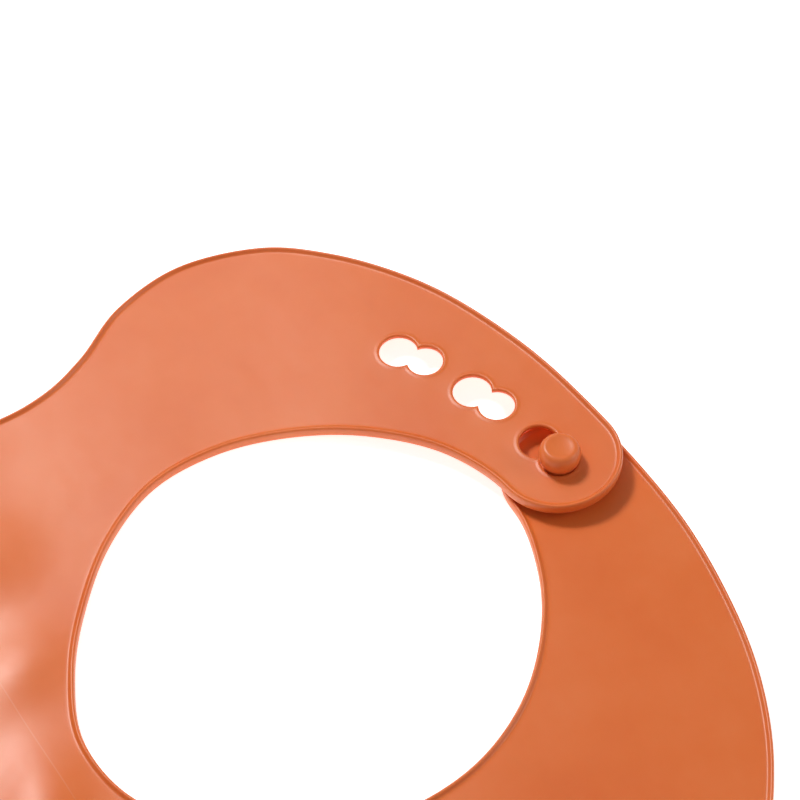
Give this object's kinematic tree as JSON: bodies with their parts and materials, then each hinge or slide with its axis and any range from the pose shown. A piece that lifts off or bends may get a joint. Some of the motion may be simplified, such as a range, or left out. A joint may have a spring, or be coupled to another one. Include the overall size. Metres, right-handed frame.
{
  "type": "silicone baby bib",
  "caption": "Soft baby bib with a ring collar closed by a button and keyholes, a chest panel and an open crumb pocket.",
  "frame": {"origin": "middle of the bib's outline, on the table under its back", "axes": "+Y from the crumb pocket to the closure, +X to the right seen from the front, +Z out of the bib's front"},
  "size_m": [0.2068, 0.305, 0.043],
  "materials": {
    "panel_silicone": "satin silicone rubber, lightly mottled",
    "collar_silicone": "satin silicone rubber, lightly mottled",
    "button_silicone": "satin silicone rubber, lightly mottled",
    "pocket_silicone": "satin silicone rubber, lightly mottled"
  },
  "bodies": {
    "chest": {"chest_panel": "panel_silicone"},
    "lower": {"lower_panel": "panel_silicone", "pocket_left_side": "pocket_silicone", "pocket_right_side": "pocket_silicone", "pocket_front": "pocket_silicone", "pocket_floor": "pocket_silicone", "pocket_lip": "pocket_silicone"},
    "collar": {"keyhole_shoulder": "collar_silicone", "button_shoulder": "collar_silicone"},
    "keyhole_strap": {"keyhole_strap": "collar_silicone"},
    "keyhole_tab": {"keyhole_tab": "collar_silicone"},
    "button_strap": {"button_strap": "collar_silicone", "button_post": "button_silicone", "button_head": "button_silicone"}
  },
  "joints": [
    {"name": "collar_fold", "type": "hinge", "parent": "chest", "child": "collar", "pos_m": [0, 0.0474, 0.0015], "axis": [1, 0, 0], "range_deg": [-75, 70], "stiffness_Nm_per_rad": 0.02},
    {"name": "lower_fold", "type": "hinge", "parent": "chest", "child": "lower", "pos_m": [0, -0.0266, 0.0015], "axis": [-1, 0, 0], "range_deg": [0, 70], "stiffness_Nm_per_rad": 0.04},
    {"name": "keyhole_strap_lift", "type": "hinge", "parent": "collar", "child": "keyhole_strap", "pos_m": [0, 0.0734, 0.0015], "axis": [0.9511, -0.309, 0], "range_deg": [0, 60], "stiffness_Nm_per_rad": 0.01, "deforming": ["button_head"]},
    {"name": "keyhole_slide", "type": "slide", "parent": "keyhole_strap", "child": "keyhole_tab", "axis": [0.9974, 0.068, 0.0254], "range_m": [0, 0.006], "stiffness_N_per_m": 200},
    {"name": "button_strap_bend", "type": "hinge", "parent": "collar", "child": "button_strap", "pos_m": [0, 0.0734, 0.0015], "axis": [0.9511, 0.309, 0], "range_deg": [-58, 0], "stiffness_Nm_per_rad": 0.01, "deforming": ["button_head"]}
  ]
}
